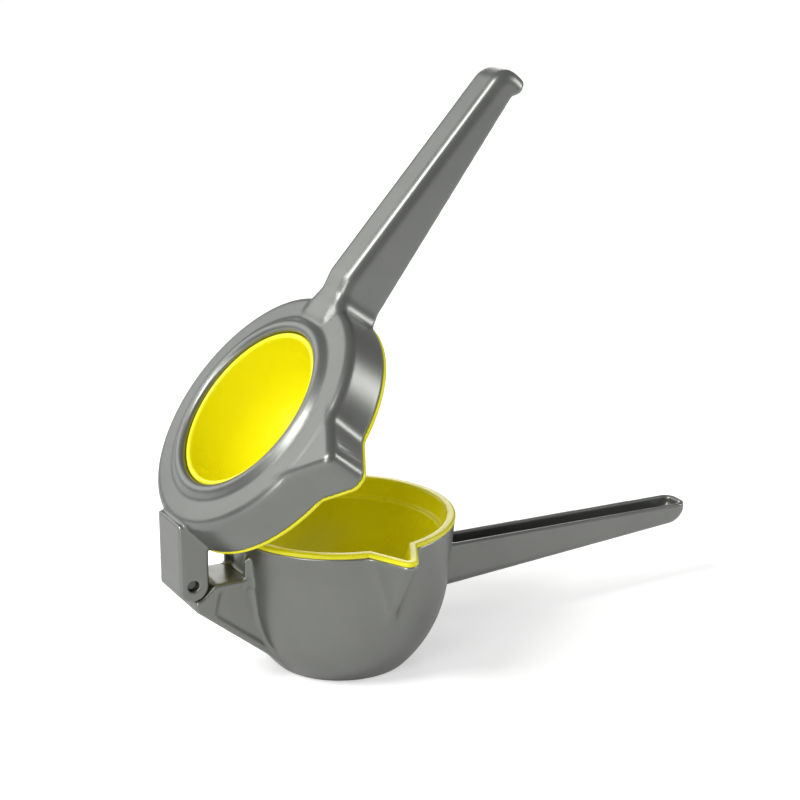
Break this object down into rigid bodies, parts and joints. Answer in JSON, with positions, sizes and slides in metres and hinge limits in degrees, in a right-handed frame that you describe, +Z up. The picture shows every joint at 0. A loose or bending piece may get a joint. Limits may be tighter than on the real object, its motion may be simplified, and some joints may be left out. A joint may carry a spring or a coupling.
{
  "type": "hinged citrus squeezer",
  "caption": "Hinged two-handle squeezer that stands on its bowl: a dished lid swings down to press half a fruit into a slotted liner, and the juice leaves by a side spout.",
  "frame": {"origin": "centre of the bowl's flat base, on the table", "axes": "+Z up out of the bowl, +X from the bowl towards the tip of the lower handle, -Y towards the pouring spout; the hinge pin lies along Y on the -X side, and the upper arm stands 48.5 degrees open"},
  "size_m": [0.2387, 0.1194, 0.2314],
  "materials": {
    "casting": "satin, polished casting",
    "insert": "glossy moulding",
    "steel": "dull steel"
  },
  "bodies": {
    "lower": {"lower_arm": "casting", "bowl_liner": "insert"},
    "upper": {"upper_arm": "casting", "press_cup": "insert", "hinge_pin": "steel", "hinge_washers": "steel"}
  },
  "joints": [
    {"name": "press_hinge", "type": "hinge", "parent": "lower", "child": "upper", "pos_m": [-0.0673, 0, 0.0459], "axis": [0, -1, 0], "range_deg": [-48.5, 57]}
  ]
}
